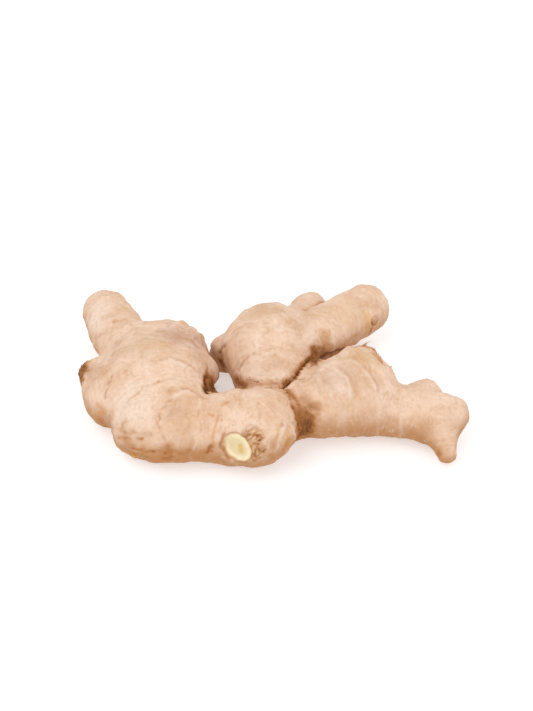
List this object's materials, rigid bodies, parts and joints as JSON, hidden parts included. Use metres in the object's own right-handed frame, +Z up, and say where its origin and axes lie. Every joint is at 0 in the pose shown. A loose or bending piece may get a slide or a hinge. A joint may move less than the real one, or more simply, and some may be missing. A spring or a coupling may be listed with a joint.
{
  "type": "ginger root",
  "caption": "Whole fresh ginger hand: one branching rhizome with thick ringed lobes, blunt fingers, small buds and a cut stem, lying flat.",
  "frame": {"origin": "centre of the bounding box, on the surface that the hand lies on", "axes": "+Z up; +X along the hand's length, towards the small buds; -Y towards the front, where the cut stem is"},
  "size_m": [0.1578, 0.102, 0.0361],
  "materials": {
    "skin": "matte"
  },
  "bodies": {
    "root": {"rhizome": "skin"}
  },
  "joints": []
}
